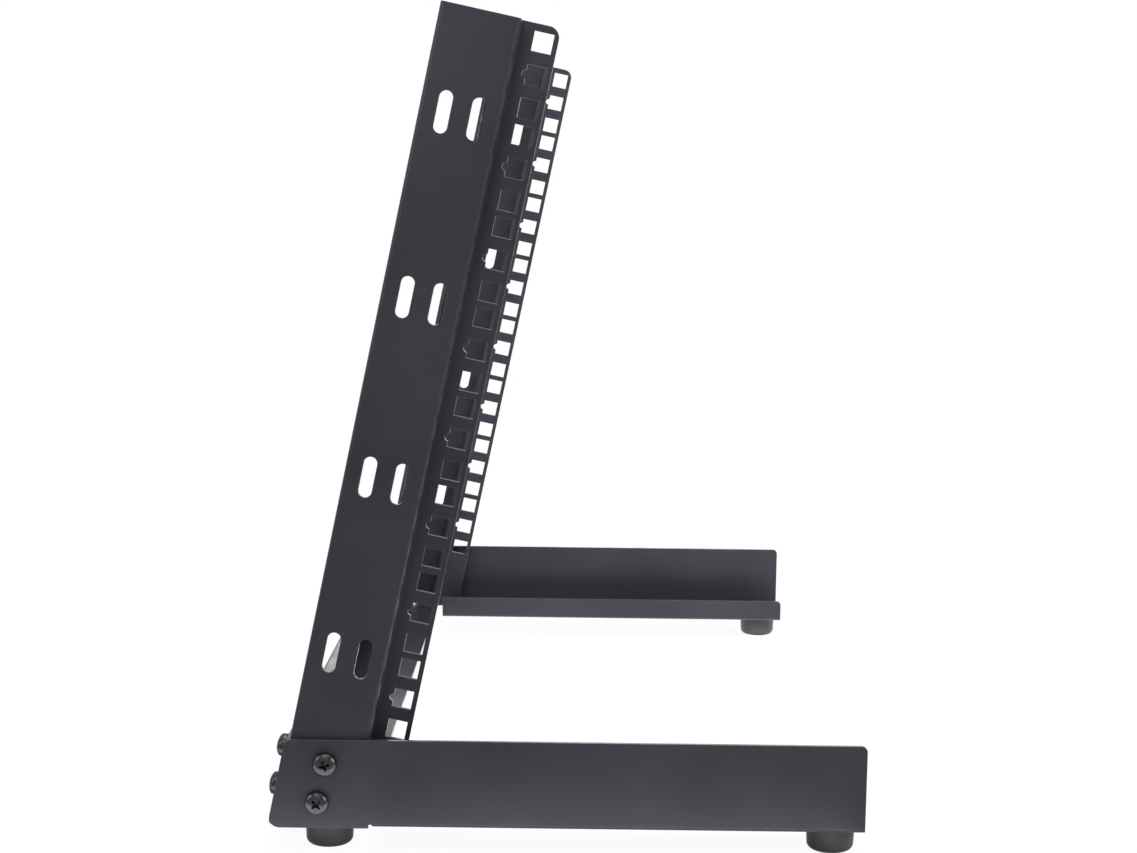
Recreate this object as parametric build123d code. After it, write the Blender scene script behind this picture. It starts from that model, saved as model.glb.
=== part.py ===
"""Desktop two-post open equipment rack, eight units high, made of bent sheet steel.

Millimetres.  X runs across the rack, -Y is the front that equipment is fastened to,
Z is up.  The origin is on the floor, midway between the sides and midway along the legs.
"""
import os
from math import atan, cos, degrees, radians, sin

from build123d import *

# Rack standard, fixed by EIA-310
UNIT = 44.45
UNITS = 8
HOLE_FIRST = 6.35
HOLE_STEP = 15.875
HOLE = 9.5
OPENING_HALF = 225.0
HOLE_INSET = 7.55

# Sheet and bends
SHEET = 2.0
BEND_MID = 1.6

# Posts
TILT = 11.8
FLANGE_WIDTH = 31.6
WALL_DEPTH = 38.6
POST_DEPTH = 57.4
STRIP_INSET = 11.8
STRIP_HOLE_INSET = 7.2
POST_OVER_TOP = 1.9
POST_CORNER = 5.5
NOTCH_RADIUS = 2.0
SLOT_WIDTH = 6.6
SLOT_LENGTH = 20.3
SLOT_DEPTH = 11.7
SLOT_SPACING = 15.9
SLOT_FIRST = 40.9
SLOT_ROWS = 4

# Legs
LEG_TOP = 58.4
LEG_UNDER = 13.8
LEG_REAR = 149.0
LEG_LEAD = 2.0
LEG_PLAIN_DROP = 0.4
LEG_PLAIN_END = -97.1
LEG_DEPTH = 42.0
LIP_HEIGHT = 14.3
LEG_CORNER = 3.0
LEG_TOE = 5.0
RELIEF_WIDTH = 2.0
RELIEF_HEIGHT = 2.0

# Cross panel
PANEL_GAP = 0.4
PANEL_TOP_DEPTH = 13.0
PANEL_NOTCH = 14.0
PANEL_REAR = -101.1
PANEL_CLEAR = 3.5

# Where the post frame stands: front face of the flange at the lower unit line
POST_Y = -134.6
POST_Z = 64.5
POST_CLEAR = 3.6

# Screws
SCREW_SIZE = 6.0
HEAD_DIAMETER = 12.0
HEAD_HEIGHT = 4.3
SHANK_LENGTH = 10.0
SHANK_SLACK = 0.1
CLEARANCE_HOLE = 6.6
TAPPED_HOLE = 6.2
SIDE_SCREW_DEPTH = 19.8
FRONT_SCREW_INSET = 15.0
SCREW_DROP = 14.6
SCREW_PITCH = 20.2

# Feet
FOOT_DIAMETER = 24.6
FOOT_TAPER = 0.7
FOOT_EDGE = 3.0
FOOT_INSET = 17.8
FOOT_FRONT_Y = -118.5
FOOT_REAR_Y = 134.0
FOOT_POCKET = 10.0
FOOT_POCKET_DEPTH = 7.0
FOOT_SCREW = 4.0
FOOT_SCREW_HOLE = 4.6
FOOT_HEAD = 8.0
FOOT_HEAD_HEIGHT = 2.6
FOOT_NUT_FLATS = 7.0
FOOT_NUT_HEIGHT = 3.2
FOOT_SCREW_SPARE = 1.0

# Places that follow from the sizes above
WALL_OUT = OPENING_HALF + FLANGE_WIDTH
STRIP_OUT = WALL_OUT - STRIP_INSET
LEG_OUT = WALL_OUT + SHEET
HALF = SHEET / 2
UNIT_HOLES = [HOLE_FIRST + step * HOLE_STEP for step in range(3)]
HOLE_COLUMN = OPENING_HALF + HOLE_INSET
STRIP_COLUMN = POST_DEPTH - STRIP_HOLE_INSET
SLOT_COLUMNS = [SLOT_DEPTH, SLOT_DEPTH + SLOT_SPACING]
SLOT_STEP = 2 * UNIT
SCREW_ROWS = [-SCREW_DROP, -SCREW_DROP - SCREW_PITCH]
FRONT_SCREW_X = WALL_OUT - FRONT_SCREW_INSET
FOOT_X = WALL_OUT - FOOT_INSET
LEG_FLANGE_START = LEG_PLAIN_END + RELIEF_WIDTH
POST_FOOT = LEG_UNDER + POST_CLEAR
BEYOND = 2 * WALL_OUT


def post_frame():
    """Frame of the posts: depth along local Y, height along local Z."""
    return Location((0, POST_Y, POST_Z)) * Rotation(-TILT, 0, 0)


def face_y(depth, height):
    """World Y of a point at a depth behind the post face and a world height."""
    lean = radians(TILT)
    along = (height - POST_Z + depth * sin(lean)) / cos(lean)
    return POST_Y + depth * cos(lean) + along * sin(lean)


def sheet_face(points):
    """Section of a bent sheet from the middle line through its corners."""
    middle = FilletPolyline(*points, radius=BEND_MID)
    left = offset(middle, amount=HALF, side=Side.LEFT, closed=False)
    right = offset(middle, amount=HALF, side=Side.RIGHT, closed=False)
    near, far = right @ 0, right @ 1
    if (left @ 0 - near).length > (left @ 0 - far).length:
        near, far = far, near
    ends = [Line(left @ 0, near), Line(left @ 1, far)]
    return make_face([*left.edges(), *right.edges(), *ends])


def hole_heights():
    """Heights of all rail holes above the lower unit line."""
    return [unit * UNIT + h for unit in range(UNITS) for h in UNIT_HOLES]


def square_hole(depth, height, notched):
    """Cutter for one square hole through the rear strip, seen along X."""
    outline = Rectangle(HOLE, HOLE)
    if notched:
        outline = outline + Pos(-HOLE / 2, 0) * Circle(NOTCH_RADIUS)
    place = Plane(origin=(STRIP_OUT - HALF, depth, height), x_dir=(0, 1, 0), z_dir=(1, 0, 0))
    return extrude(place * outline, amount=3 * SHEET, both=True)


def flange_hole(height):
    """Cutter for one square hole through the front flange."""
    place = Plane(origin=(HOLE_COLUMN, HALF, height), x_dir=(1, 0, 0), z_dir=(0, -1, 0))
    return extrude(place * Rectangle(HOLE, HOLE), amount=2 * SHEET, both=True)


def side_slot(depth, height):
    """Cutter for one upright slot through the side wall."""
    outline = SlotOverall(SLOT_LENGTH, SLOT_WIDTH, rotation=90)
    place = Plane(origin=(WALL_OUT - HALF, depth, height), x_dir=(0, 1, 0), z_dir=(1, 0, 0))
    return extrude(place * outline, amount=3 * SHEET, both=True)


def side_hole(depth, height, diameter):
    """Cutter for a round hole along X through the post wall and leg wall."""
    place = Plane(origin=(WALL_OUT, depth, height), z_dir=(1, 0, 0))
    return extrude(place * Circle(diameter / 2), amount=3 * SHEET, both=True)


def front_hole(height, diameter):
    """Cutter for a round hole from the front through panel and flange."""
    place = Plane(origin=(FRONT_SCREW_X, 0, height), z_dir=(0, -1, 0))
    return extrude(place * Circle(diameter / 2), amount=3 * SHEET, both=True)


def right_post():
    """One bent sheet: front flange, side wall, step inward and rear strip."""
    corners = [
        (OPENING_HALF, HALF),
        (WALL_OUT - HALF, HALF),
        (WALL_OUT - HALF, WALL_DEPTH - HALF),
        (STRIP_OUT - HALF, WALL_DEPTH - HALF),
        (STRIP_OUT - HALF, POST_DEPTH),
    ]
    bottom = -2 * UNIT
    top = UNITS * UNIT + POST_OVER_TOP
    post = Pos(0, 0, bottom) * extrude(sheet_face(corners), amount=top - bottom)
    post = fillet(edge_at_strip_corner(post), POST_CORNER)
    cutters = []
    for index, height in enumerate(hole_heights()):
        cutters.append(square_hole(STRIP_COLUMN, height, index % 3 == 1))
        cutters.append(flange_hole(height))
    for row in range(SLOT_ROWS):
        for depth in SLOT_COLUMNS:
            cutters.append(side_slot(depth, SLOT_FIRST + row * SLOT_STEP))
    for height in SCREW_ROWS:
        cutters.append(side_hole(SIDE_SCREW_DEPTH, height, TAPPED_HOLE))
        cutters.append(front_hole(height, TAPPED_HOLE))
    post = post - cutters
    post = post_frame() * post
    keep = Box(2 * BEYOND, 2 * BEYOND, BEYOND, align=(Align.CENTER, Align.CENTER, Align.MIN))
    keep = Pos(0, 0, POST_FOOT) * keep
    return post & keep


def edge_at_strip_corner(post):
    """The short edge across the sheet at the upper rear corner of the strip."""
    rear = post.edges().filter_by(Axis.X).group_by(Axis.Y)[-1]
    return rear.sort_by(Axis.Z)[-1]


def right_leg():
    """Outer wall, bottom flange and turned-up inner lip of one leg."""
    inner = LEG_OUT - LEG_DEPTH
    corners = [
        (LEG_OUT - HALF, LEG_TOP),
        (LEG_OUT - HALF, LEG_UNDER + HALF),
        (inner + HALF, LEG_UNDER + HALF),
        (inner + HALF, LEG_UNDER + LIP_HEIGHT),
    ]
    section = Plane(origin=(0, LEG_REAR, 0), x_dir=(1, 0, 0), z_dir=(0, -1, 0)) * sheet_face(corners)
    channel = extrude(section, amount=LEG_REAR - LEG_FLANGE_START)
    wall = Plane(origin=(WALL_OUT, 0, 0), x_dir=(0, 1, 0), z_dir=(1, 0, 0))
    low = LEG_UNDER - LEG_PLAIN_DROP
    relief = low + RELIEF_HEIGHT - RELIEF_WIDTH / 2
    plain = make_face(
        Polyline(
            (face_y(-LEG_LEAD, low), low),
            (LEG_PLAIN_END, low),
            (LEG_PLAIN_END, relief),
            (LEG_FLANGE_START, relief),
            (LEG_FLANGE_START, LEG_TOP),
            (face_y(-LEG_LEAD, LEG_TOP), LEG_TOP),
            close=True,
        )
    )
    plain = fillet(plain.vertices().sort_by(Axis.X)[0], LEG_TOE)
    plain = fillet(plain.vertices().group_by(Axis.Y)[-1].sort_by(Axis.X)[0], LEG_CORNER)
    plain = plain - Pos(LEG_PLAIN_END + RELIEF_WIDTH / 2, relief) * Circle(RELIEF_WIDTH / 2)
    leg = channel + extrude(wall * plain, amount=SHEET)
    rear = leg.edges().filter_by(Axis.X).group_by(Axis.Y)[-1]
    top_corner = rear.sort_by(Axis.Z)[-1]
    lip_corner = [e for e in rear if e.center().X < inner + SHEET and e.center().Z > LEG_UNDER + SHEET]
    leg = fillet([top_corner, *lip_corner], LEG_CORNER)
    holes = [side_hole(SIDE_SCREW_DEPTH, h, CLEARANCE_HOLE) for h in SCREW_ROWS]
    holes = [post_frame() * hole for hole in holes]
    holes.append(Pos(FOOT_X, FOOT_REAR_Y, LEG_UNDER) * Cylinder(FOOT_SCREW_HOLE / 2, 3 * SHEET))
    return leg - holes


def cross_panel():
    """Channel across the front: sloped wall, top flange and deep bottom flange."""
    top_y = face_y(-SHEET, LEG_TOP)
    corners = [
        (top_y + PANEL_TOP_DEPTH, LEG_TOP - HALF),
        (face_y(-HALF, LEG_TOP - HALF), LEG_TOP - HALF),
        (face_y(-HALF, LEG_UNDER + HALF), LEG_UNDER + HALF),
        (PANEL_REAR, LEG_UNDER + HALF),
    ]
    half = WALL_OUT - PANEL_GAP
    section = Plane(origin=(-half, 0, 0), x_dir=(0, 1, 0), z_dir=(1, 0, 0)) * sheet_face(corners)
    panel = extrude(section, amount=2 * half)
    cutters = []
    for side in (-1, 1):
        inner = OPENING_HALF - PANEL_CLEAR
        block = Box(half - inner + SHEET, 2 * PANEL_TOP_DEPTH, PANEL_NOTCH)
        middle = side * (inner + half + SHEET) / 2
        block = Pos(middle, PANEL_TOP_DEPTH, LEG_TOP - POST_Z) * block
        cutters.append(post_frame() * block)
        for height in SCREW_ROWS:
            hole = front_hole(height, CLEARANCE_HOLE)
            cutters.append(post_frame() * (hole if side > 0 else mirror(hole, Plane.YZ)))
        foot = Pos(side * FOOT_X, FOOT_FRONT_Y, LEG_UNDER) * Cylinder(FOOT_SCREW_HOLE / 2, 3 * SHEET)
        cutters.append(foot)
    return panel - cutters


def pan_screw():
    """Pan head screw on Z, head upward, underside of the head at Z = 0."""
    radius = HEAD_DIAMETER / 2
    rim = 0.45 * HEAD_HEIGHT
    crown = 0.45 * radius
    outline = make_face(
        [
            Line((0, 0), (radius, 0)),
            Line((radius, 0), (radius, rim)),
            ThreePointArc((radius, rim), (0.84 * radius, 0.84 * HEAD_HEIGHT), (crown, HEAD_HEIGHT)),
            Line((crown, HEAD_HEIGHT), (0, HEAD_HEIGHT)),
            Line((0, HEAD_HEIGHT), (0, 0)),
        ]
    )
    head = revolve(Plane.XZ * outline, Axis.Z)
    shank_radius = SCREW_SIZE / 2 - SHANK_SLACK
    shank = Cylinder(shank_radius, SHANK_LENGTH, align=(Align.CENTER, Align.CENTER, Align.MAX))
    shank = chamfer(shank.edges().sort_by(Axis.Z)[0], 0.8)
    return head + shank


def side_screw(row):
    """Screw through the right leg wall into the right post."""
    place = Plane(origin=(LEG_OUT, SIDE_SCREW_DEPTH, SCREW_ROWS[row]), z_dir=(1, 0, 0))
    return post_frame() * (place * pan_screw())


def front_screw(row):
    """Screw through the panel wall into the right post flange."""
    place = Plane(origin=(FRONT_SCREW_X, -SHEET, SCREW_ROWS[row]), z_dir=(0, -1, 0))
    return post_frame() * (place * pan_screw())


def rubber_foot():
    """Round tapered foot with a pocket for its screw, top face at Z = 0."""
    top = FOOT_DIAMETER / 2
    bottom = top - FOOT_TAPER
    body = Pos(0, 0, -LEG_UNDER) * extrude(
        Circle(bottom), amount=LEG_UNDER, taper=-tapered_angle(top - bottom, LEG_UNDER)
    )
    body = fillet(body.edges().sort_by(Axis.Z)[0], FOOT_EDGE)
    pocket = Pos(0, 0, -LEG_UNDER) * Cylinder(
        FOOT_POCKET / 2, FOOT_POCKET_DEPTH, align=(Align.CENTER, Align.CENTER, Align.MIN)
    )
    bore = Cylinder(FOOT_SCREW_HOLE / 2, 3 * LEG_UNDER)
    return body - pocket - bore


def tapered_angle(step, height):
    """Angle in degrees of a side that steps out over a height."""
    return degrees(atan(step / height))


def foot_screw():
    """Screw that holds a foot, head downward on the pocket floor, foot top at Z = 0."""
    seat = -LEG_UNDER + FOOT_POCKET_DEPTH
    length = -seat + SHEET + FOOT_NUT_HEIGHT + FOOT_SCREW_SPARE
    head = Pos(0, 0, seat) * Cylinder(
        FOOT_HEAD / 2, FOOT_HEAD_HEIGHT, align=(Align.CENTER, Align.CENTER, Align.MAX)
    )
    head = chamfer(head.edges().sort_by(Axis.Z)[0], 0.8)
    shank = Pos(0, 0, seat) * Cylinder(
        FOOT_SCREW / 2 - SHANK_SLACK, length, align=(Align.CENTER, Align.CENTER, Align.MIN)
    )
    return head + shank


def foot_nut():
    """Hexagon nut on the flange above a foot, foot top at Z = 0."""
    prism = extrude(RegularPolygon(FOOT_NUT_FLATS / 2, 6, major_radius=False), amount=FOOT_NUT_HEIGHT)
    prism = Pos(0, 0, SHEET) * prism
    return prism - Cylinder(FOOT_SCREW / 2, 6 * FOOT_NUT_HEIGHT)


def other_side(shape):
    """Mirror image of a right-hand piece."""
    return mirror(shape, Plane.YZ)


def save(name, shape):
    """Write one node as a STEP file."""
    solids = shape.solids()
    whole = solids[0] if len(solids) == 1 else Compound(children=list(solids))
    export_step(whole, f"parts/{name}.step")
    print(name, len(solids), round(sum(s.volume for s in solids), 1))


def main():
    """Build every node."""
    os.makedirs("parts", exist_ok=True)
    post = right_post()
    save("right_post", post)
    save("left_post", other_side(post))
    leg = right_leg()
    save("right_leg", leg)
    save("left_leg", other_side(leg))
    save("cross_panel", cross_panel())
    for row, level in enumerate(("upper", "lower")):
        side = side_screw(row)
        front = front_screw(row)
        save(f"right_{level}_side_screw", side)
        save(f"left_{level}_side_screw", other_side(side))
        save(f"right_{level}_front_screw", front)
        save(f"left_{level}_front_screw", other_side(front))
    for end, y in (("front", FOOT_FRONT_Y), ("rear", FOOT_REAR_Y)):
        for hand, x in (("right", FOOT_X), ("left", -FOOT_X)):
            place = Pos(x, y, LEG_UNDER)
            save(f"{end}_{hand}_foot", place * rubber_foot())
            save(f"{end}_{hand}_foot_screw", place * foot_screw())
            save(f"{end}_{hand}_foot_nut", place * foot_nut())


main()
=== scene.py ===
"""Looks of a desktop two-post open equipment rack: finishes, screws, feet, studio and camera.

Metres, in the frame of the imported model: X across the rack, -Y the front, Z up, floor at Z = 0.
"""
import logging
import math
from dataclasses import dataclass, field, replace
from enum import Enum
from typing import Callable, Iterable, Sequence

import bmesh
import bpy
from mathutils import Matrix, Vector


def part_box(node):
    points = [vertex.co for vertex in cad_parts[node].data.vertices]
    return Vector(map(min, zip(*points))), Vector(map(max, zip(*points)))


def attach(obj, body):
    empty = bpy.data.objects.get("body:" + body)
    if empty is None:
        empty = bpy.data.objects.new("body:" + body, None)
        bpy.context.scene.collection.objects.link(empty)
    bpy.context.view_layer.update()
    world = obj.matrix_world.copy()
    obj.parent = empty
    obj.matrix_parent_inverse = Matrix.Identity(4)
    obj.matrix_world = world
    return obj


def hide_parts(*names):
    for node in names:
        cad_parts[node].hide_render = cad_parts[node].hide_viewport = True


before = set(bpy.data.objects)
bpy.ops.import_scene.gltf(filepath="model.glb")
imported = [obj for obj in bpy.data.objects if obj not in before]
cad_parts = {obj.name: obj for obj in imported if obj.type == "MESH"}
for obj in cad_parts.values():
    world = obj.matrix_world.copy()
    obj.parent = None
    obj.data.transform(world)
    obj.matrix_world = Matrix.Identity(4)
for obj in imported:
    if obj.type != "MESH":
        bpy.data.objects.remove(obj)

MM = 0.001
HAIR = 1e-6  # metres: points nearer than this are one point
SPECK = 1e-7  # metres: heights nearer than this are one height
FACING = 0.9  # least part of a face's normal along the way that it looks
LOG = logging.getLogger("rack")
Colour = tuple[float, float, float]
Place = tuple[float, float, float]
Ring = tuple[float, float]
Span = tuple[float, float]
Socket = bpy.types.NodeSocket

WHITE: Colour = (1.0, 1.0, 1.0)
FULL: Span = (0.0, 1.0)
WIDE: Span = (0.30, 0.70)  # part of a noise's values that is stretched over a whole range
NARROW: Span = (0.35, 0.65)  # the same, for more contrast


class Slot(Enum):
    """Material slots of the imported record."""

    POWDER_COAT = "powder_coat"
    BLACK_SCREW = "black_screw"
    RUBBER = "rubber"
    PLATED_STEEL = "plated_steel"


class Hand(Enum):
    """Side of the rack, with the sign of X there."""

    RIGHT = 1
    LEFT = -1


class Level(Enum):
    """Row of screws, counted downward."""

    UPPER = 0
    LOWER = 1


class End(Enum):
    """End of a leg."""

    FRONT = "front"
    REAR = "rear"


@dataclass(frozen=True)
class Pattern:
    """One noise: its repeats to the metre, its octaves and the weight of the finer ones."""

    scale: float
    detail: float
    rough: float = 0.5


@dataclass(frozen=True)
class Relief:
    """Fine relief: its pattern, the depth that it stands for in metres and the share that shows."""

    pattern: Pattern
    depth: float
    strength: float


def ramp(tree: bpy.types.NodeTree, value: Socket, reach: Span, result: Span) -> Socket:
    """Map a value from one range to another, held at its ends.

    Args:
        tree: Node tree to add to.
        value: Socket to map.
        reach: Values that become the two results.
        result: The two results.

    Returns:
        The socket with the mapped value.
    """
    node = tree.nodes.new("ShaderNodeMapRange")
    for name, number in zip(("From Min", "From Max", "To Min", "To Max"), (*reach, *result)):
        node.inputs[name].default_value = number
    tree.links.new(value, node.inputs["Value"])
    return node.outputs["Result"]


class Graph:
    """Node tree of one material, with short calls to add and join nodes."""

    EDGE_SAMPLES = 6
    EDGE_TURN: Span = (0.80, 0.99)  # cosine from a sharp edge to gently bent ground

    def __init__(self, name: str) -> None:
        """Start a material that holds only its output and a Principled shader.

        Args:
            name: Name of the material.
        """
        self.material = bpy.data.materials.new(name)
        self.material.use_nodes = True
        self.tree = self.material.node_tree
        self.tree.nodes.clear()
        self.output = self.tree.nodes.new("ShaderNodeOutputMaterial")
        self.shader = self.tree.nodes.new("ShaderNodeBsdfPrincipled")
        self.join(self.shader.outputs["BSDF"], self.output.inputs["Surface"])
        self.place = self.tree.nodes.new("ShaderNodeTexCoord").outputs["Object"]

    def join(self, source: Socket, target: Socket) -> None:
        """Link one socket to another."""
        self.tree.links.new(source, target)

    def noise(self, pattern: Pattern) -> Socket:
        """Add a noise on the piece's own coordinates.

        Args:
            pattern: Scale and fineness of the noise.

        Returns:
            The socket with the value of the noise.
        """
        node = self.tree.nodes.new("ShaderNodeTexNoise")
        node.inputs["Scale"].default_value = pattern.scale
        node.inputs["Detail"].default_value = pattern.detail
        node.inputs["Roughness"].default_value = pattern.rough
        self.join(self.place, node.inputs["Vector"])
        return node.outputs["Fac"]

    def span(self, value: Socket, reach: Span, result: Span) -> Socket:
        """Map a value from one range to another in this material."""
        return ramp(self.tree, value, reach, result)

    def blend(self, amount: Socket, first: Colour | Socket, second: Colour) -> Socket:
        """Mix two colours by a value.

        Args:
            amount: Share of the second colour.
            first: Colour at 0, or the socket that gives it.
            second: Colour at 1.

        Returns:
            The socket with the mixed colour.
        """
        node = self.tree.nodes.new("ShaderNodeMix")
        node.data_type = "RGBA"
        if isinstance(first, Socket):
            self.join(first, node.inputs["A"])
        else:
            node.inputs["A"].default_value = (*first, 1.0)
        node.inputs["B"].default_value = (*second, 1.0)
        self.join(amount, node.inputs["Factor"])
        return node.outputs["Result"]

    def bump(self, relief: Relief, under: Socket | None = None) -> Socket:
        """Add fine relief.

        Args:
            relief: Pattern, depth and strength of the relief.
            under: Normal that this relief lies on.

        Returns:
            The socket with the new normal.
        """
        node = self.tree.nodes.new("ShaderNodeBump")
        node.inputs["Distance"].default_value = relief.depth
        node.inputs["Strength"].default_value = relief.strength
        self.join(self.noise(relief.pattern), node.inputs["Height"])
        if under is not None:
            self.join(under, node.inputs["Normal"])
        return node.outputs["Normal"]

    def edges(self, reach: float) -> Socket:
        """Find the sharp edges of the piece.

        Args:
            reach: Distance in metres over which an edge is felt.

        Returns:
            The socket with 1 along sharp edges and 0 on flat and gently bent ground.
        """
        rounded = self.tree.nodes.new("ShaderNodeBevel")
        rounded.samples = self.EDGE_SAMPLES
        rounded.inputs["Radius"].default_value = reach
        ground = self.tree.nodes.new("ShaderNodeNewGeometry").outputs["Normal"]
        meet = self.tree.nodes.new("ShaderNodeVectorMath")
        meet.operation = "DOT_PRODUCT"
        self.join(rounded.outputs["Normal"], meet.inputs[0])
        self.join(ground, meet.inputs[1])
        return self.span(meet.outputs["Value"], self.EDGE_TURN, (1.0, 0.0))

    def reckon(self, operation: str, first: Socket, second: Socket) -> Socket:
        """Work out one value from two.

        Args:
            operation: ADD or MULTIPLY.
            first: Socket with the first value.
            second: Socket with the second value.

        Returns:
            The socket with the result.
        """
        node = self.tree.nodes.new("ShaderNodeMath")
        node.operation = operation
        self.join(first, node.inputs[0])
        self.join(second, node.inputs[1])
        return node.outputs["Value"]

    def feed(self, name: str, source: Socket) -> None:
        """Link a socket to an input of the shader."""
        self.join(source, self.shader.inputs[name])

    def fix(self, name: str, number: float) -> None:
        """Set an input of the shader that is the same all over."""
        self.shader.inputs[name].default_value = number


@dataclass(frozen=True)
class PowderCoat:
    """Black powder coat, baked on sheet steel: fine grain over a soft orange peel, with edges
    painted lighter, partly as wear of the coat and partly as painted highlight.
    """

    name: str = "black_powder_coat"
    deep: Colour = (0.0130, 0.0140, 0.0180)
    pale: Colour = (0.0190, 0.0200, 0.0245)
    roughness: Span = (0.30, 0.40)
    sheen: float = 0.12
    cloud: Pattern = Pattern(14.0, 4.0)
    cloud_tone: Span = (0.0, 0.75)
    fleck: Pattern = Pattern(2600.0, 2.0)
    fleck_reach: Span = (0.60, 0.78)
    fleck_tone: Span = (0.0, 0.5)
    polish: Pattern = Pattern(45.0, 3.0)
    peel: Relief = Relief(Pattern(320.0, 2.0), 0.20 * MM, 0.10)
    grain: Relief = Relief(Pattern(1500.0, 3.0, 0.6), 0.08 * MM, 0.22)
    # lighter edge colour and its patchy mask: partly real wear of the coat, partly a painted
    # highlight along the edges
    patchy_wear_and_highlight: Pattern = Pattern(220.0, 4.0, 0.6)
    patchy_wear_and_highlight_reach: Span = (0.38, 0.62)
    patchy_wear_and_highlight_share: Span = (0.25, 1.0)
    worn_and_highlit: Colour = (0.060, 0.061, 0.067)
    worn_and_highlit_reach: float = 0.7 * MM

    def build(self) -> bpy.types.Material:
        """Make the material.

        Returns:
            The finished material.
        """
        graph = Graph(self.name)
        cloud = graph.span(graph.noise(self.cloud), NARROW, self.cloud_tone)
        fleck = graph.span(graph.noise(self.fleck), self.fleck_reach, self.fleck_tone)
        ground = graph.blend(graph.reckon("ADD", cloud, fleck), self.deep, self.pale)
        # edges painted lighter in broken dashes: partly worn coat, partly painted highlight
        patchy_wear_and_highlight_mask = graph.span(graph.noise(self.patchy_wear_and_highlight), self.patchy_wear_and_highlight_reach, self.patchy_wear_and_highlight_share)
        edge_wear_and_highlight = graph.reckon("MULTIPLY", graph.edges(self.worn_and_highlit_reach), patchy_wear_and_highlight_mask)
        graph.feed("Base Color", graph.blend(edge_wear_and_highlight, ground, self.worn_and_highlit))
        graph.feed("Roughness", graph.span(graph.noise(self.polish), NARROW, self.roughness))
        graph.fix("Specular IOR Level", self.sheen)
        graph.feed("Normal", graph.bump(self.grain, graph.bump(self.peel)))
        return graph.material


@dataclass(frozen=True)
class ScrewBlack:
    """Black oxide on turned steel: glossy, with faint stains, a varied polish and fine pits."""

    name: str = "black_oxide_steel"
    deep: Colour = (0.013, 0.013, 0.0145)
    pale: Colour = (0.032, 0.032, 0.035)
    metal: float = 0.75
    roughness: Span = (0.16, 0.26)
    stain: Pattern = Pattern(900.0, 4.0)
    polish: Pattern = Pattern(1600.0, 3.0)
    pits: Relief = Relief(Pattern(2800.0, 2.0), 0.04 * MM, 0.25)

    def build(self) -> bpy.types.Material:
        """Make the material.

        Returns:
            The finished material.
        """
        graph = Graph(self.name)
        stain = graph.span(graph.noise(self.stain), WIDE, FULL)
        graph.feed("Base Color", graph.blend(stain, self.deep, self.pale))
        graph.fix("Metallic", self.metal)
        graph.feed("Roughness", graph.span(graph.noise(self.polish), WIDE, self.roughness))
        graph.feed("Normal", graph.bump(self.pits))
        return graph.material


@dataclass(frozen=True)
class MouldedRubber:
    """Dull black rubber with a fine moulded skin and a little bloom."""

    name: str = "moulded_rubber"
    deep: Colour = (0.0265, 0.0265, 0.028)
    pale: Colour = (0.0405, 0.0405, 0.0425)
    roughness: Span = (0.48, 0.60)
    sheen: float = 0.14
    bloom: Pattern = Pattern(120.0, 5.0, 0.6)
    bloom_reach: Span = (0.35, 0.70)
    polish: Pattern = Pattern(260.0, 3.0)
    skin: Relief = Relief(Pattern(1900.0, 3.0, 0.6), 0.06 * MM, 0.35)
    swell: Relief = Relief(Pattern(240.0, 2.0), 0.20 * MM, 0.12)

    def build(self) -> bpy.types.Material:
        """Make the material.

        Returns:
            The finished material.
        """
        graph = Graph(self.name)
        bloom = graph.span(graph.noise(self.bloom), self.bloom_reach, FULL)
        graph.feed("Base Color", graph.blend(bloom, self.deep, self.pale))
        graph.feed("Roughness", graph.span(graph.noise(self.polish), WIDE, self.roughness))
        graph.fix("Specular IOR Level", self.sheen)
        graph.feed("Normal", graph.bump(self.swell, graph.bump(self.skin)))
        return graph.material


@dataclass(frozen=True)
class ZincPlate:
    """Bright zinc on small steel parts, with cloudy stains."""

    name: str = "zinc_plate"
    deep: Colour = (0.42, 0.43, 0.44)
    pale: Colour = (0.62, 0.63, 0.64)
    roughness: Span = (0.22, 0.42)
    cloud: Pattern = Pattern(420.0, 5.0, 0.6)
    polish: Pattern = Pattern(800.0, 3.0)
    pits: Relief = Relief(Pattern(2200.0, 3.0), 0.04 * MM, 0.25)

    def build(self) -> bpy.types.Material:
        """Make the material.

        Returns:
            The finished material.
        """
        graph = Graph(self.name)
        cloud = graph.span(graph.noise(self.cloud), WIDE, FULL)
        graph.feed("Base Color", graph.blend(cloud, self.deep, self.pale))
        graph.fix("Metallic", 1.0)
        graph.feed("Roughness", graph.span(graph.noise(self.polish), WIDE, self.roughness))
        graph.feed("Normal", graph.bump(self.pits))
        return graph.material


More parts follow.
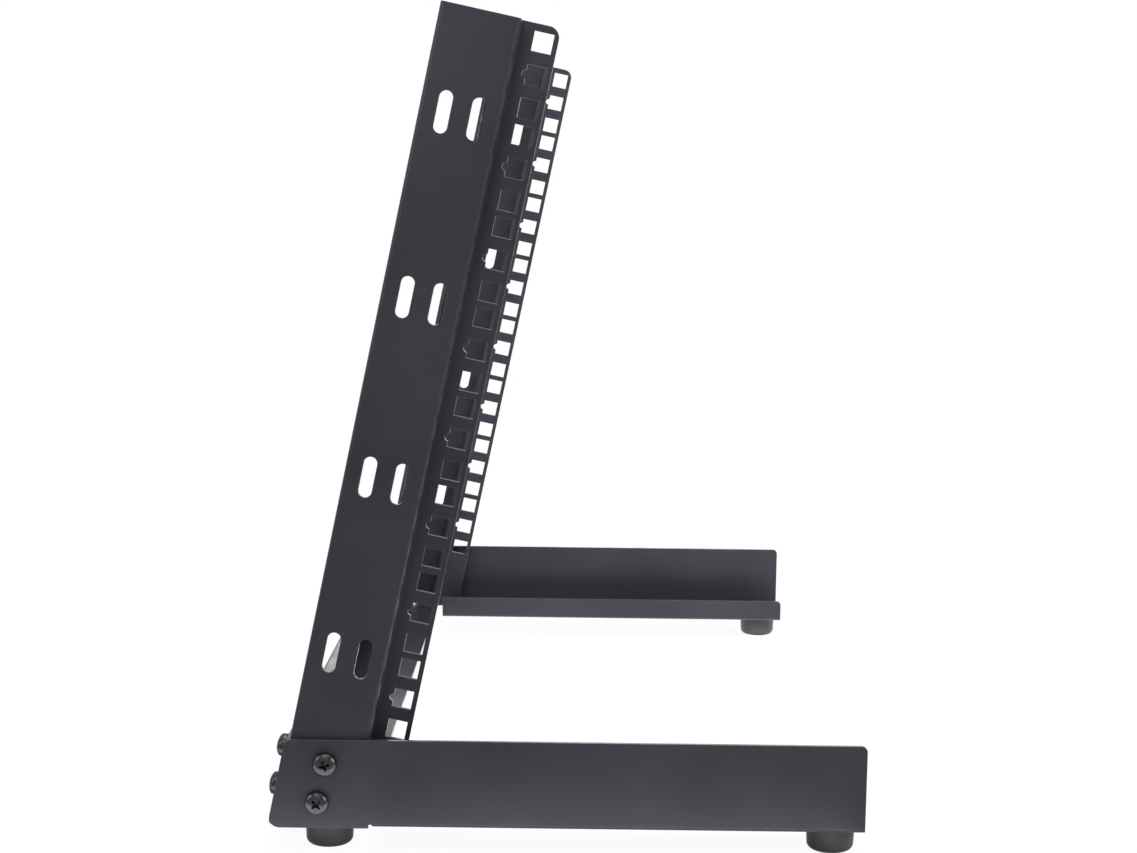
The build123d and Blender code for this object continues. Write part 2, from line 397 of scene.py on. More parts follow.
class Bench:
    """Hand tools that shape new pieces in edit mode."""

    @staticmethod
    def clear() -> None:
        """Leave edit mode and deselect all objects."""
        if bpy.context.mode != "OBJECT":
            bpy.ops.object.mode_set(mode="OBJECT")
        bpy.ops.object.select_all(action="DESELECT")

    @staticmethod
    def take(piece: bpy.types.Object) -> None:
        """Make one object the only selected and the active one."""
        Bench.clear()
        piece.select_set(True)
        bpy.context.view_layer.objects.active = piece

    @staticmethod
    def rod(name: str, radius: float, low: float, high: float, sides: int) -> bpy.types.Object:
        """Add an upright cylinder on the Z axis.

        Args:
            name: Name of the object.
            radius: Radius in metres.
            low: Height of its lower end.
            high: Height of its upper end.
            sides: Number of sides.

        Returns:
            The new object.
        """
        Bench.clear()
        bpy.ops.mesh.primitive_cylinder_add(
            vertices=sides, radius=radius, depth=high - low, location=(0.0, 0.0, (low + high) / 2)
        )
        bpy.ops.object.transform_apply(location=True, rotation=True, scale=True)
        piece = bpy.context.active_object
        piece.name = name
        return piece

    @staticmethod
    def open(piece: bpy.types.Object, mode: str = "FACE") -> None:
        """Enter edit mode on a piece with nothing selected.

        Args:
            piece: Object to edit.
            mode: VERT, EDGE or FACE.
        """
        Bench.take(piece)
        bpy.ops.object.mode_set(mode="EDIT")
        bpy.ops.mesh.select_mode(type=mode)
        bpy.ops.mesh.select_all(action="DESELECT")

    @staticmethod
    def pick_faces(piece: bpy.types.Object, test: Callable[[bmesh.types.BMFace], bool]) -> None:
        """Select the faces of the piece in edit mode that pass a test.

        Args:
            piece: Object in edit mode.
            test: Says whether a face is wanted.
        """
        bpy.ops.mesh.select_mode(type="FACE")
        bpy.ops.mesh.select_all(action="DESELECT")
        mesh = bmesh.from_edit_mesh(piece.data)
        mesh.normal_update()
        for face in mesh.faces:
            if test(face):
                face.select_set(True)
        mesh.select_flush_mode()
        bmesh.update_edit_mesh(piece.data)

    @staticmethod
    def pick_edges(piece: bpy.types.Object, test: Callable[[bmesh.types.BMEdge], bool]) -> None:
        """Select the edges of the piece in edit mode that pass a test.

        Args:
            piece: Object in edit mode.
            test: Says whether an edge is wanted.
        """
        bpy.ops.mesh.select_mode(type="EDGE")
        bpy.ops.mesh.select_all(action="DESELECT")
        mesh = bmesh.from_edit_mesh(piece.data)
        for edge in mesh.edges:
            if test(edge):
                edge.select_set(True)
        bmesh.update_edit_mesh(piece.data)

    @staticmethod
    def scale_flat(share: float, height: float) -> None:
        """Scale what is selected about the Z axis, level with a height."""
        bpy.ops.transform.resize(value=(share, share, 1.0), center_override=(0.0, 0.0, height))

    @staticmethod
    def raise_rings(rings: Sequence[Ring]) -> None:
        """Extrude the selected flat round face through rings of given radius and height.

        Args:
            rings: Radius and height of each ring, the first one being where the face is now.
        """
        for (radius, height), (wide, high) in zip(rings, rings[1:]):
            bpy.ops.mesh.extrude_region_move(
                TRANSFORM_OT_translate={"value": (0.0, 0.0, high - height)}
            )
            Bench.scale_flat(wide / radius, high)

    @staticmethod
    def carve(
        piece: bpy.types.Object, cutter: bpy.types.Object, operation: str = "DIFFERENCE"
    ) -> None:
        """Cut one object with another and remove the cutter.

        Args:
            piece: Object that is kept.
            cutter: Object that shapes it.
            operation: DIFFERENCE or INTERSECT.
        """
        Bench.take(piece)
        step = piece.modifiers.new("carve", "BOOLEAN")
        step.operation = operation
        step.solver = "EXACT"
        step.object = cutter
        bpy.ops.object.modifier_apply(modifier=step.name)
        bpy.data.objects.remove(cutter)

    @staticmethod
    def soften(piece: bpy.types.Object, width: float, angle: float) -> None:
        """Round the sharp edges of a piece.

        Args:
            piece: Object to finish.
            width: Width of the rounding in metres.
            angle: Edges sharper than this many degrees are rounded.
        """
        Bench.take(piece)
        step = piece.modifiers.new("soften", "BEVEL")
        step.width = width
        step.segments = 2
        step.limit_method = "ANGLE"
        step.angle_limit = math.radians(angle)
        bpy.ops.object.modifier_apply(modifier=step.name)

    @staticmethod
    def close(piece: bpy.types.Object, angle: float = 35.0) -> None:
        """Merge doubles, turn the normals outward and smooth the shading.

        Args:
            piece: Object to finish.
            angle: Edges sharper than this many degrees stay crisp.
        """
        Bench.open(piece)
        bpy.ops.mesh.select_all(action="SELECT")
        bpy.ops.mesh.remove_doubles(threshold=HAIR)
        bpy.ops.mesh.normals_make_consistent(inside=False)
        bpy.ops.object.mode_set(mode="OBJECT")
        bpy.ops.object.shade_smooth_by_angle(angle=math.radians(angle))

    @staticmethod
    def copy(master: bpy.types.Object, name: str, place: Matrix) -> bpy.types.Object:
        """Copy a modelled piece to its place, with a mesh of its own.

        Args:
            master: Piece modelled on the Z axis.
            name: Name of the copy.
            place: Matrix from the Z axis to the rack.

        Returns:
            The copy, at the origin, with its place in its mesh.
        """
        piece = master.copy()
        piece.data = master.data.copy()
        piece.name = name
        piece.data.name = name
        bpy.context.scene.collection.objects.link(piece)
        piece.data.transform(place)
        return piece


def seat(piece: bpy.types.Object, nodes: Iterable[str]) -> None:
    """Let a new piece ride on the rack in place of its CAD nodes.

    Args:
        piece: Finished piece.
        nodes: CAD nodes that it stands for.
    """
    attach(piece, "root")
    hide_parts(*nodes)
    LOG.info("%s: %d faces, for %s", piece.name, len(piece.data.polygons), ", ".join(nodes))


@dataclass
class SheetMetal:
    """The five bent sheets: their cut edges are eased and they get their coat.

    The ease and the merge are in metres, the sharpness and the flatness in degrees.
    """

    coat: PowderCoat = field(default_factory=PowderCoat)
    nodes: tuple[str, ...] = ("right_post", "left_post", "right_leg", "left_leg", "cross_panel")
    ease: float = 0.30 * MM
    sharp: float = 42.0
    merge: float = 2e-6
    flatness: float = 0.5

    def build(self) -> None:
        """Dress every sheet."""
        coat = self.coat.build()
        for name in self.nodes:
            self.dress(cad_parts[name], coat)

    def dress(self, sheet: bpy.types.Object, coat: bpy.types.Material) -> None:
        """Ease the edges of one sheet and coat it.

        Args:
            sheet: CAD node, whose mesh is left alone.
            coat: Material of the coat.
        """
        weld = sheet.modifiers.new("weld", "WELD")
        weld.merge_threshold = self.merge
        flat = sheet.modifiers.new("flats", "DECIMATE")
        flat.decimate_type = "DISSOLVE"
        flat.angle_limit = math.radians(self.flatness)
        round_edge = sheet.modifiers.new("eased_edges", "BEVEL")
        round_edge.width = self.ease
        round_edge.segments = 2
        round_edge.limit_method = "ANGLE"
        round_edge.angle_limit = math.radians(self.sharp)
        true_flat = sheet.modifiers.new("true_flats", "WEIGHTED_NORMAL")
        true_flat.mode = "FACE_AREA"
        true_flat.keep_sharp = True
        for slot in sheet.material_slots:
            slot.material = coat
        LOG.info("%s: coated", sheet.name)


@dataclass
class MachineScrew:
    """One pan head machine screw with a cross recess and a cut thread, head up, seat at Z = 0.

    The shares are of the head's height (rim), of its radius (rim_ease), of the wing (core), of the
    width nearer the middle or the top (the two tapers) and of the pitch (start). The start keeps
    the cut ends of the shank off the corners of the thread.
    """

    head_radius: float
    head_height: float
    recess_span: float
    recess_depth: float
    wing: float
    major: float
    minor: float
    pitch: float
    length: float
    fullness: float = 1.0
    head_sides: int = 64
    dome_steps: int = 14
    rim_share: float = 0.30
    rim_ease: float = 0.05
    overshoot: float = 0.4 * MM
    core_share: float = 1.25
    wing_taper: float = 0.8
    floor_taper: float = 0.42
    thread_steps: int = 24
    spare_turns: int = 3
    start_share: float = 1.013
    shank_top: float = 0.05 * MM

    def model(self, name: str) -> bpy.types.Object:
        """Model the whole screw.

        Args:
            name: Name of the object.

        Returns:
            The screw on the Z axis.
        """
        head = self.head(name)
        Bench.carve(head, self.recess())
        thread = self.thread()
        Bench.take(head)
        thread.select_set(True)
        bpy.ops.object.join()
        Bench.close(head)
        return head

    def head(self, name: str) -> bpy.types.Object:
        """Model the domed head from a short rod.

        Args:
            name: Name of the object.

        Returns:
            The head without its recess.
        """
        radius, height = self.head_radius, self.head_height
        rim = self.rim_share * height
        piece = Bench.rod(name, radius, 0.0, rim, self.head_sides)
        Bench.open(piece)
        Bench.pick_faces(piece, lambda face: face.normal.z > FACING)
        rings: list[Ring] = [(radius, rim)]
        for step in range(1, self.dome_steps):
            turn = math.radians(90.0 * step / self.dome_steps)
            rise = (height - rim) * math.sin(turn) ** self.fullness
            rings.append((radius * math.cos(turn), rim + rise))
        Bench.raise_rings(rings)
        Bench.pick_edges(piece, lambda edge: all(abs(v.co.z) < SPECK for v in edge.verts))
        bpy.ops.mesh.bevel(offset=self.rim_ease * radius, segments=2, affect="EDGES")
        bpy.ops.object.mode_set(mode="OBJECT")
        return piece

    def recess(self) -> bpy.types.Object:
        """Model the cutter of the cross recess from a cube.

        Returns:
            The cutter, tapered downward.
        """
        top = self.head_height + self.overshoot
        depth = self.recess_depth + self.overshoot
        width = self.wing * self.core_share
        Bench.clear()
        bpy.ops.mesh.primitive_cube_add(size=1.0, location=(0.0, 0.0, top - depth / 2))
        cutter = bpy.context.active_object
        cutter.scale = (width, width, depth)
        bpy.ops.object.transform_apply(location=True, rotation=True, scale=True)
        core = width / 2
        reach = self.recess_span / 2 - core
        Bench.open(cutter)
        for axis in (0, 1):
            for sign in (-1, 1):
                Bench.pick_faces(
                    cutter,
                    lambda face: face.normal[axis] * sign > FACING
                    and abs(face.calc_center_median()[axis] - sign * core) < HAIR
                    and abs(face.calc_center_median()[1 - axis]) < HAIR,
                )
                way = [0.0, 0.0, 0.0]
                way[axis] = sign * reach
                bpy.ops.mesh.extrude_region_move(TRANSFORM_OT_translate={"value": way})
                narrow = [self.wing_taper, self.wing_taper, 1.0]
                narrow[axis] = 1.0
                bpy.ops.transform.resize(value=narrow, center_override=(0.0, 0.0, 0.0))
        Bench.pick_faces(cutter, lambda face: face.normal.z < -FACING)
        Bench.scale_flat(self.floor_taper, top - depth)
        bpy.ops.object.mode_set(mode="OBJECT")
        return cutter

    def thread(self) -> bpy.types.Object:
        """Model the threaded shank by winding one tooth round the axis.

        Returns:
            The shank, cut square at its end.
        """
        turns = int(self.length / self.pitch) + self.spare_turns
        low = -(self.length + self.start_share * self.pitch)
        Bench.clear()
        bpy.ops.mesh.primitive_plane_add(size=1.0, location=(0.0, 0.0, 0.0))
        shank = bpy.context.active_object
        Bench.open(shank, "VERT")
        bpy.ops.mesh.select_all(action="SELECT")
        bpy.ops.mesh.delete(type="ONLY_FACE")
        mesh = bmesh.from_edit_mesh(shank.data)
        root, crest = self.minor, self.major
        tooth = ((root, 0.0), (root, 0.12), (crest, 0.44), (crest, 0.56), (root, 0.88), (root, 1.0))
        chain = list(mesh.verts)
        for edge in list(mesh.edges):
            mesh.edges.remove(edge)
        while len(chain) < len(tooth):
            chain.append(mesh.verts.new())
        for corner, (radius, share) in zip(chain, tooth):
            corner.co = (radius, 0.0, low + share * self.pitch)
        for first, second in zip(chain, chain[1:]):
            mesh.edges.new((first, second))
        bmesh.update_edit_mesh(shank.data)
        bpy.ops.object.mode_set(mode="OBJECT")
        wind = shank.modifiers.new("wind", "SCREW")
        wind.axis = "Z"
        wind.screw_offset = self.pitch
        wind.iterations = turns
        wind.steps = wind.render_steps = self.thread_steps
        wind.use_merge_vertices = False
        bpy.ops.object.modifier_apply(modifier=wind.name)
        Bench.open(shank)
        bpy.ops.mesh.select_all(action="SELECT")
        bpy.ops.mesh.remove_doubles(threshold=HAIR)
        for height, inner, outer in ((-self.length, True, False), (self.shank_top, False, True)):
            bpy.ops.mesh.select_all(action="SELECT")
            bpy.ops.mesh.bisect(
                plane_co=(0.0, 0.0, height),
                plane_no=(0.0, 0.0, 1.0),
                use_fill=True,
                clear_inner=inner,
                clear_outer=outer,
                threshold=SPECK,
            )
        bpy.ops.object.mode_set(mode="OBJECT")
        return shank


@dataclass(frozen=True)
class PostLine:
    """Where the leaning posts stand: the front face of their flange at the lowest unit line."""

    lean: float = 11.8
    foot_y: float = -134.6 * MM
    foot_z: float = 64.5 * MM

    def point(self, x: float, depth: float, height: float) -> Vector:
        """Give a point measured along a post.

        Args:
            x: Distance across the rack.
            depth: Distance behind the front face.
            height: Distance above the lowest unit line.

        Returns:
            The point in the frame of the rack.
        """
        turn = math.radians(self.lean)
        y = self.foot_y + depth * math.cos(turn) + height * math.sin(turn)
        z = self.foot_z - depth * math.sin(turn) + height * math.cos(turn)
        return Vector((x, y, z))

    def forward(self) -> Vector:
        """Give the direction in which the posts face."""
        turn = math.radians(self.lean)
        return Vector((0.0, -math.cos(turn), math.sin(turn)))


@dataclass
class RackScrews:
    """The eight screws that hold the posts to the legs and to the cross panel."""

    finish: ScrewBlack = field(default_factory=ScrewBlack)
    line: PostLine = field(default_factory=PostLine)
    seat_x: float = 258.6 * MM
    side_depth: float = 19.8 * MM
    column_x: float = 241.6 * MM
    front_depth: float = -2.0 * MM
    rows: tuple[float, float] = (-14.6 * MM, -34.8 * MM)
    side_turns: tuple[float, float] = (17.0, 43.0)
    front_turns: tuple[float, float] = (62.0, 24.0)
    turn_by_hand: float = 30.0
    front_height: float = 4.9 * MM
    front_fullness: float = 0.85
    screw: MachineScrew = field(
        default_factory=lambda: MachineScrew(
            head_radius=6.0 * MM,
            head_height=4.3 * MM,
            recess_span=6.4 * MM,
            recess_depth=2.6 * MM,
            wing=1.25 * MM,
            major=2.9 * MM,
            minor=2.4 * MM,
            pitch=1.0 * MM,
            length=10.0 * MM,
        )
    )

    def build(self) -> None:
        """Model a screw for the sides and one for the front, and seat four copies of each."""
        black = self.finish.build()
        side = self.screw.model("pan_head_screw")
        taller = replace(
            self.screw, head_height=self.front_height, fullness=self.front_fullness
        )
        front = taller.model("tall_head_screw")
        for master in (side, front):
            master.data.materials.append(black)
        for hand in Hand:
            for level in Level:
                self.set_side(side, hand, level)
                self.set_front(front, hand, level)
        for master in (side, front):
            bpy.data.objects.remove(master)

    def set_side(self, master: bpy.types.Object, hand: Hand, level: Level) -> None:
        """Seat a screw in a leg wall, its head facing outward.

        Args:
            master: The modelled screw.
            hand: Side of the rack.
            level: Row of the screw.
        """
        row = self.rows[level.value]
        under = self.line.point(hand.value * self.seat_x, self.side_depth, row)
        name = f"{hand.name.lower()}_{level.name.lower()}_side_screw"
        turn = self.side_turns[level.value]
        self.set(master, name, under, Vector((hand.value, 0.0, 0.0)), turn)

    def set_front(self, master: bpy.types.Object, hand: Hand, level: Level) -> None:
        """Seat a screw in the cross panel, its head facing the front.

        Args:
            master: The modelled screw.
            hand: Side of the rack.
            level: Row of the screw.
        """
        row = self.rows[level.value]
        under = self.line.point(hand.value * self.column_x, self.front_depth, row)
        name = f"{hand.name.lower()}_{level.name.lower()}_front_screw"
        turn = self.front_turns[level.value] + self.turn_by_hand * hand.value
        self.set(master, name, under, self.line.forward(), turn)

    def set(
        self, master: bpy.types.Object, name: str, seat_at: Vector, axis: Vector, turn: float
    ) -> None:
        """Copy the screw to a seat.

        Args:
            master: The modelled screw.
            name: Name of the CAD node that the copy stands for.
            seat_at: Point under the middle of the head.
            axis: Direction in which the head faces.
            turn: Angle of the recess about the screw's axis, in degrees.
        """
        side = axis.cross(Vector((0.0, 0.0, 1.0))).normalized()
        up = side.cross(axis)
        facing = Matrix((-side, up, axis)).transposed().to_4x4()
        place = Matrix.Translation(seat_at) @ facing @ Matrix.Rotation(math.radians(turn), 4, "Z")
        piece = Bench.copy(master, f"{name}_turned", place)
        seat(piece, [name])


@dataclass
class RubberFoot:
    """One moulded foot with a pocket below and a hole through it, top face at Z = 0.

    The two areas tell the round end faces from the smaller faces beside them.
    """

    top_radius: float = 12.3 * MM
    bottom_radius: float = 11.6 * MM
    height: float = 13.8 * MM
    edge: float = 3.0 * MM
    pocket_radius: float = 5.0 * MM
    pocket_depth: float = 7.0 * MM
    bore_radius: float = 2.3 * MM
    sides: int = 96
    top_edge: float = 0.35 * MM
    pocket_edge: float = 0.3 * MM
    small_area: float = 10.0 * MM**2
    disc_area: float = 30.0 * MM**2

    def model(self, name: str) -> bpy.types.Object:
        """Model the foot from a rod.

        Args:
            name: Name of the object.

        Returns:
            The foot on the Z axis.
        """
        low = -self.height
        piece = Bench.rod(name, self.top_radius, low, 0.0, self.sides)
        Bench.open(piece)
        Bench.pick_faces(piece, lambda face: face.normal.z < -FACING)
        Bench.scale_flat(self.bottom_radius / self.top_radius, low)
        Bench.pick_edges(piece, lambda edge: all(v.co.z < low + HAIR for v in edge.verts))
        bpy.ops.mesh.bevel(offset=self.edge, segments=8, affect="EDGES")
        Bench.pick_edges(piece, lambda edge: all(v.co.z > -HAIR for v in edge.verts))
        bpy.ops.mesh.bevel(offset=self.top_edge, segments=3, affect="EDGES")
        self.sink_pocket(piece)
        self.open_bore(piece)
        Bench.close(piece, angle=40.0)
        return piece

    def sink_pocket(self, piece: bpy.types.Object) -> None:
        """Sink the round pocket for the screw head into the bottom face.

        Args:
            piece: Foot in edit mode.
        """
        flat = self.bottom_radius - self.edge
        Bench.pick_faces(
            piece, lambda face: face.normal.z < -FACING and face.calc_area() > self.small_area
        )
        bpy.ops.mesh.inset(thickness=flat - self.pocket_radius - self.pocket_edge)
        bpy.ops.mesh.inset(thickness=self.pocket_edge, depth=-self.pocket_edge)
        bpy.ops.mesh.extrude_region_move(
            TRANSFORM_OT_translate={"value": (0.0, 0.0, self.pocket_depth - self.pocket_edge)}
        )

    def open_bore(self, piece: bpy.types.Object) -> None:
        """Open the screw hole between the pocket and the top face.

        Args:
            piece: Foot in edit mode.
        """
        for level in (-self.height + self.pocket_depth, 0.0):
            Bench.pick_faces(
                piece,
                lambda face: abs(face.calc_center_median().z - level) < 10 * HAIR
                and face.calc_area() > self.disc_area,
            )
            share = self.bore_radius / self.face_radius(piece)
            bpy.ops.mesh.extrude_region()
            Bench.scale_flat(share, level)
        Bench.pick_faces(
            piece,
            lambda face: len(face.verts) == self.sides
            and all(v.co.xy.length < self.bore_radius + 10 * HAIR for v in face.verts),
        )
        bpy.ops.mesh.bridge_edge_loops()

    @staticmethod
    def face_radius(piece: bpy.types.Object) -> float:
        """Give the radius of the selected round face."""
        mesh = bmesh.from_edit_mesh(piece.data)
        return max(v.co.xy.length for v in mesh.verts if v.select)


@dataclass
class HexNut:
    """One hexagon nut with turned corners, lower face at Z = 0.

    The turn, in degrees, keeps the sides of the round cutter off the corners of the hexagon.
    """

    flats: float = 7.0 * MM
    height: float = 3.2 * MM
    bore_radius: float = 2.0 * MM
    corner_room: float = 1.03
    end_room: float = 0.01 * MM
    chamfer: float = 0.55 * MM
    ease: float = 0.12 * MM
    turn: float = 1.3
    cutter_sides: int = 64
    bore_sides: int = 32

    def model(self, name: str) -> bpy.types.Object:
        """Model the nut from a six-sided rod.

        Args:
            name: Name of the object.

        Returns:
            The nut on the Z axis.
        """
        corner = self.flats / math.sqrt(3.0)
        piece = Bench.rod(name, corner, 0.0, self.height, 6)
        low, high = -self.end_room, self.height + self.end_room
        wide = corner * self.corner_room
        turned = Bench.rod("turned_corners", wide, low, high, self.cutter_sides)
        Bench.open(turned)
        Bench.pick_edges(
            turned, lambda edge: abs(edge.verts[0].co.z - edge.verts[1].co.z) < SPECK
        )
        bpy.ops.mesh.bevel(offset=self.chamfer, segments=1, affect="EDGES")
        bpy.ops.object.mode_set(mode="OBJECT")
        turned.rotation_euler.z = math.radians(self.turn)
        Bench.carve(piece, turned, "INTERSECT")
        bore = Bench.rod("bore", self.bore_radius, -MM, self.height + MM, self.bore_sides)
        Bench.carve(piece, bore)
        Bench.soften(piece, self.ease, angle=50.0)
        Bench.close(piece, angle=30.0)
        return piece


@dataclass
class LegFeet:
    """The four rubber feet with the screws and nuts that hold them."""

    rubber: MouldedRubber = field(default_factory=MouldedRubber)
    zinc: ZincPlate = field(default_factory=ZincPlate)
    foot: RubberFoot = field(default_factory=RubberFoot)
    nut: HexNut = field(default_factory=HexNut)
    sheet: float = 2.0 * MM
    screw_turn: float = 0.5
    screw: MachineScrew = field(
        default_factory=lambda: MachineScrew(
            head_radius=4.0 * MM,
            head_height=2.6 * MM,
            recess_span=4.2 * MM,
            recess_depth=1.7 * MM,
            wing=0.85 * MM,
            major=1.9 * MM,
            minor=1.6 * MM,
            pitch=0.7 * MM,
            length=13.0 * MM,
        )
    )

    def build(self) -> None:
        """Model each small part once and seat its four copies."""
        foot = self.foot.model("moulded_foot")
        foot.data.materials.append(self.rubber.build())
        plate = self.zinc.build()
        nut = self.nut.model("hexagon_nut")
        nut.data.materials.append(plate)
        screw = self.screw.model("foot_screw")
        screw.data.materials.append(plate)
        for end in End:
            for hand in Hand:
                self.set(foot, nut, screw, f"{end.value}_{hand.name.lower()}")
        for master in (foot, nut, screw):
            bpy.data.objects.remove(master)

    def set(
        self, foot: bpy.types.Object, nut: bpy.types.Object, screw: bpy.types.Object, corner: str
    ) -> None:
        """Seat a foot, its nut and its screw at one corner.

        Args:
            foot: The modelled foot.
            nut: The modelled nut.
            screw: The modelled screw.
            corner: First words of the names there.
        """
        low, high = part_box(f"{corner}_foot")
        under = Vector(((low.x + high.x) / 2, (low.y + high.y) / 2, high.z))
        here = Matrix.Translation(under)
        above = Matrix.Translation(under + Vector((0.0, 0.0, self.sheet)))
        pocket = under + Vector((0.0, 0.0, self.foot.pocket_depth - self.foot.height))
        flip = Matrix.Rotation(math.pi, 4, "X") @ Matrix.Rotation(self.screw_turn, 4, "Z")
        down = Matrix.Translation(pocket) @ flip
        for master, word, place, slot, node in (
            (foot, "moulded_foot", here, Slot.RUBBER, "foot"),
            (nut, "hexagon_nut", above, Slot.PLATED_STEEL, "foot_nut"),
            (screw, "pan_screw", down, Slot.PLATED_STEEL, "foot_screw"),
        ):
            seat(Bench.copy(master, f"{corner}_{word}", place), [f"{corner}_{node}"])


@dataclass(frozen=True)
class Lamp:
    """One soft lamp: its place, the point that it faces, its size, watts and spread in degrees."""

    name: str
    spot: Place
    target: Place
    size: tuple[float, float]
    power: float
    spread: float = 180.0

    def hang(self) -> None:
        """Hang the lamp, unseen by the camera."""
        data = bpy.data.lights.new(self.name, "AREA")
        data.shape = "RECTANGLE"
        data.size, data.size_y = self.size
        data.energy = self.power
        data.spread = math.radians(self.spread)
        lamp = bpy.data.objects.new(self.name, data)
        bpy.context.scene.collection.objects.link(lamp)
        lamp.location = self.spot
        lamp.visible_camera = False
        lamp.rotation_mode = "QUATERNION"
        way = Vector(self.target) - Vector(self.spot)
        lamp.rotation_quaternion = way.to_track_quat("-Z", "Y")


@dataclass
class Studio:
    """White surroundings, most of their light from behind the rack, a pale floor and soft lamps.

    Backdrop, room and ceiling are levels of light. Overhead and behind are the stretches of a
    ray's Z and X over which one level turns into the next. The shadow shows by its share within
    the first reach, in metres from the middle of the floor, and fades out at the second.
    """

    backdrop: float = 1.0
    room: float = 0.18
    room_tint: Colour = (0.90, 0.96, 1.0)
    ceiling: float = 0.60
    overhead: Span = (-0.9, -0.1)
    behind: Span = (-0.2, 0.6)
    floor_size: float = 14.0
    floor_colour: Colour = (0.72, 0.72, 0.72)
    floor_roughness: float = 0.9
    floor_sheen: float = 0.1
    shadow_share: float = 0.06
    shadow_reach: Span = (0.35, 0.95)
    lamps: tuple[Lamp, ...] = (
        Lamp("top_softbox", (0.0, 0.1, 1.7), (0.0, 0.0, 0.2), (1.6, 1.6), 20.0),
        Lamp("backdrop_softbox", (-1.9, 0.5, 0.8), (0.0, 0.0, 0.2), (2.4, 1.4), 24.0),
        Lamp("front_softbox", (0.75, -1.3, 0.75), (0.2, -0.1, 0.1), (0.6, 0.8), 8.0),
        Lamp("rear_softbox", (0.9, 1.4, 0.7), (0.1, 0.0, 0.2), (0.8, 0.8), 21.0),
        Lamp("key_softbox", (1.7, -0.05, 1.15), (0.0, 0.0, 0.3), (1.0, 0.7), 2.5),
        Lamp("post_softbox", (0.80, -0.12, 0.95), (0.26, 0.03, 0.50), (0.5, 0.4), 1.22, 50.0),
        Lamp("inner_softbox", (0.10, 0.10, 1.0), (-0.25, 0.05, 0.1), (0.3, 0.5), 10.0),
        Lamp("light_table", (-0.20, 0.05, 0.0008), (-0.20, 0.05, 1.0), (0.80, 0.58), 3.0),
        Lamp("near_strip", (0.292, -0.08, 0.0008), (0.292, -0.08, 1.0), (0.056, 0.46), 0.35),
    )

    def build(self) -> None:
        """Make the world, the floor and the lamps."""
        bpy.context.scene.view_settings.view_transform = "Standard"
        self.light_world()
        self.lay_floor()
        for lamp in self.lamps:
            lamp.hang()
        LOG.info("studio: floor and %d lamps", len(self.lamps))

    @staticmethod
    def clear_defaults() -> None:
        """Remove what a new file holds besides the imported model."""
        for name in ("Cube", "Light", "Camera"):
            if name in bpy.data.objects:
                bpy.data.objects.remove(bpy.data.objects[name])

    @staticmethod
    def seen_rays(tree: bpy.types.NodeTree) -> Socket:
        """Give 1 on rays by which the background is seen.

        Args:
            tree: Node tree to add to.

        Returns:
            The socket with 1 on camera, glossy and transmission rays.
        """
        path = tree.nodes.new("ShaderNodeLightPath")
        value = path.outputs["Is Camera Ray"]
        for name in ("Is Glossy Ray", "Is Transmission Ray"):
            either = tree.nodes.new("ShaderNodeMath")
            either.operation = "MAXIMUM"
            tree.links.new(value, either.inputs[0])
            tree.links.new(path.outputs[name], either.inputs[1])
            value = either.outputs["Value"]
        return value

    def light_world(self) -> None:
        """Make a world that looks white all round and lights the rack mostly from behind."""
        world = bpy.data.worlds.new("white_backdrop")
        bpy.context.scene.world = world
        world.use_nodes = True
        tree = world.node_tree
        tree.nodes.clear()
        output = tree.nodes.new("ShaderNodeOutputWorld")
        light = tree.nodes.new("ShaderNodeBackground")
        white = tree.nodes.new("ShaderNodeBackground")
        white.inputs["Color"].default_value = (*WHITE, 1.0)
        share = tree.nodes.new("ShaderNodeMixShader")
        tree.links.new(self.seen_rays(tree), share.inputs["Fac"])
        tree.links.new(light.outputs["Background"], share.inputs[1])
        tree.links.new(white.outputs["Background"], share.inputs[2])
        tree.links.new(share.outputs["Shader"], output.inputs["Surface"])
        toward = tree.nodes.new("ShaderNodeSeparateXYZ")
        ray = tree.nodes.new("ShaderNodeNewGeometry").outputs["Incoming"]
        tree.links.new(ray, toward.inputs["Vector"])
        rise = ramp(tree, toward.outputs["Z"], self.overhead, (self.ceiling, self.room))
        level = ramp(tree, toward.outputs["X"], self.behind, FULL)
        mix = tree.nodes.new("ShaderNodeMix")
        tree.links.new(level, mix.inputs["Factor"])
        tree.links.new(rise, mix.inputs["A"])
        mix.inputs["B"].default_value = self.backdrop
        tree.links.new(mix.outputs["Result"], light.inputs["Strength"])
        tint = tree.nodes.new("ShaderNodeMix")
        tint.data_type = "RGBA"
        tree.links.new(level, tint.inputs["Factor"])
        tint.inputs["A"].default_value = (*self.room_tint, 1.0)
        tint.inputs["B"].default_value = (*WHITE, 1.0)
        tree.links.new(tint.outputs["Result"], light.inputs["Color"])

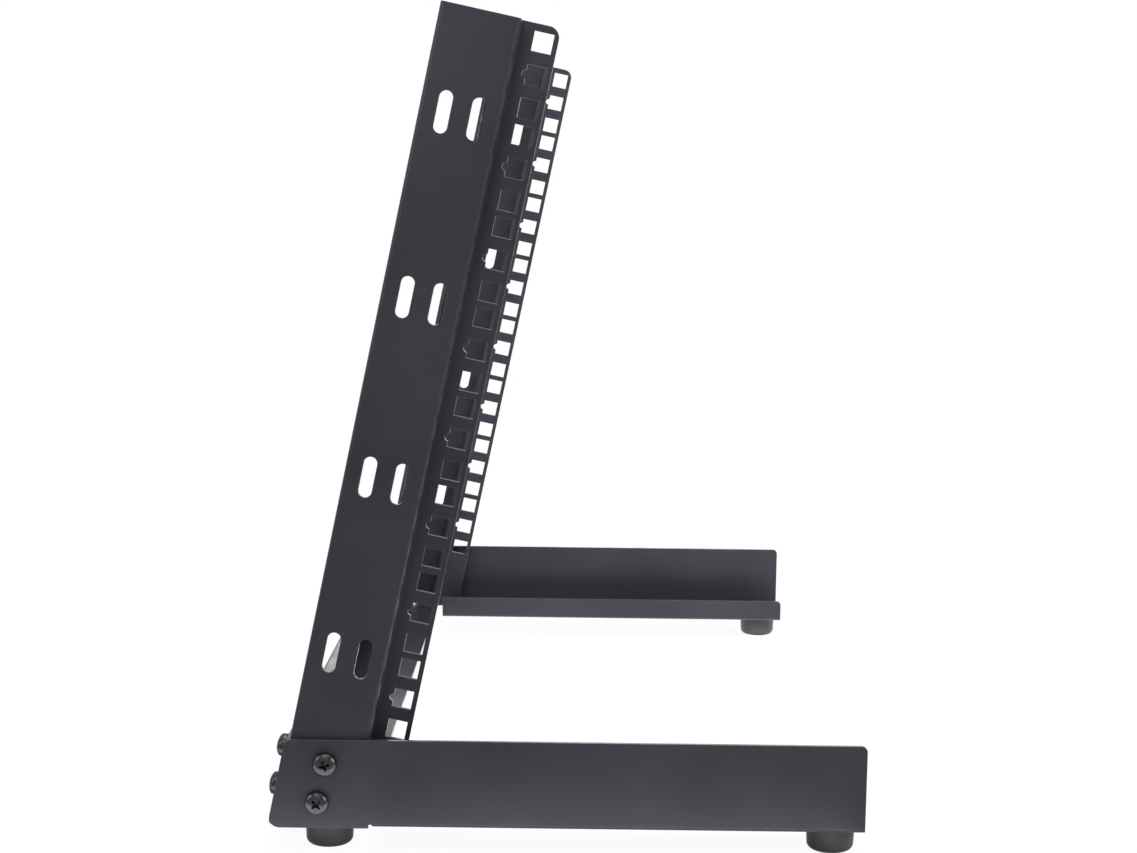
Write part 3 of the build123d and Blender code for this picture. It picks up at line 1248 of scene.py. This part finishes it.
    def lay_floor(self) -> None:
        """Lay the pale floor, which keeps a faint shadow of the rack."""
        Bench.clear()
        bpy.ops.mesh.primitive_plane_add(size=self.floor_size, location=(0.0, 0.0, 0.0))
        floor = bpy.context.active_object
        floor.name = "studio_floor"
        graph = Graph("pale_floor")
        graph.shader.inputs["Base Color"].default_value = (*self.floor_colour, 1.0)
        graph.fix("Roughness", self.floor_roughness)
        graph.fix("Specular IOR Level", self.floor_sheen)
        tree = graph.tree
        glow = tree.nodes.new("ShaderNodeEmission")
        glow.inputs["Color"].default_value = (*WHITE, 1.0)
        reach = tree.nodes.new("ShaderNodeVectorMath")
        reach.operation = "LENGTH"
        graph.join(graph.place, reach.inputs[0])
        near = 1.0 - self.shadow_share
        white = graph.span(reach.outputs["Value"], self.shadow_reach, (near, 1.0))
        mix = tree.nodes.new("ShaderNodeMixShader")
        graph.join(graph.reckon("MULTIPLY", self.seen_rays(tree), white), mix.inputs["Fac"])
        graph.join(graph.shader.outputs["BSDF"], mix.inputs[1])
        graph.join(glow.outputs["Emission"], mix.inputs[2])
        graph.join(mix.outputs["Shader"], graph.output.inputs["Surface"])
        floor.data.materials.append(graph.material)


@dataclass
class ViewPoint:
    """Camera at the photograph's place, fitted to the rack's holes and edges."""

    spot: Place = (1.23863, 0.01161, 0.34259)
    yaw: float = 0.186
    pitch: float = 9.072
    roll: float = 0.664
    focal: float = 65.214
    shift: tuple[float, float] = (-0.01457, 0.05307)
    sensor: float = 36.0
    clip: tuple[float, float] = (0.05, 50.0)

    def build(self) -> None:
        """Place the camera."""
        yaw, pitch, roll = (math.radians(turn) for turn in (self.yaw, self.pitch, self.roll))
        flat = math.cos(pitch)
        ahead = -Vector((flat * math.cos(yaw), flat * math.sin(yaw), math.sin(pitch)))
        level = Vector((-math.sin(yaw), math.cos(yaw), 0.0))
        above = level.cross(ahead)
        right = math.cos(roll) * level + math.sin(roll) * above
        up = math.cos(roll) * above - math.sin(roll) * level
        data = bpy.data.cameras.new("camera")
        data.sensor_width = self.sensor
        data.lens = self.focal
        data.shift_x, data.shift_y = self.shift
        data.clip_start, data.clip_end = self.clip
        camera = bpy.data.objects.new("camera", data)
        bpy.context.scene.collection.objects.link(camera)
        facing = Matrix((right, up, -ahead)).transposed().to_4x4()
        camera.matrix_world = Matrix.Translation(self.spot) @ facing
        bpy.context.scene.camera = camera
        LOG.info("camera: %.0f mm at %s", data.lens, tuple(self.spot))


def main() -> None:
    """Build the looks of the rack in order."""
    logging.basicConfig(level=logging.INFO, format="%(name)s: %(message)s")
    Studio.clear_defaults()
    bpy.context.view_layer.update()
    SheetMetal().build()
    RackScrews().build()
    LegFeet().build()
    Studio().build()
    ViewPoint().build()


if __name__ == "__main__":
    main()
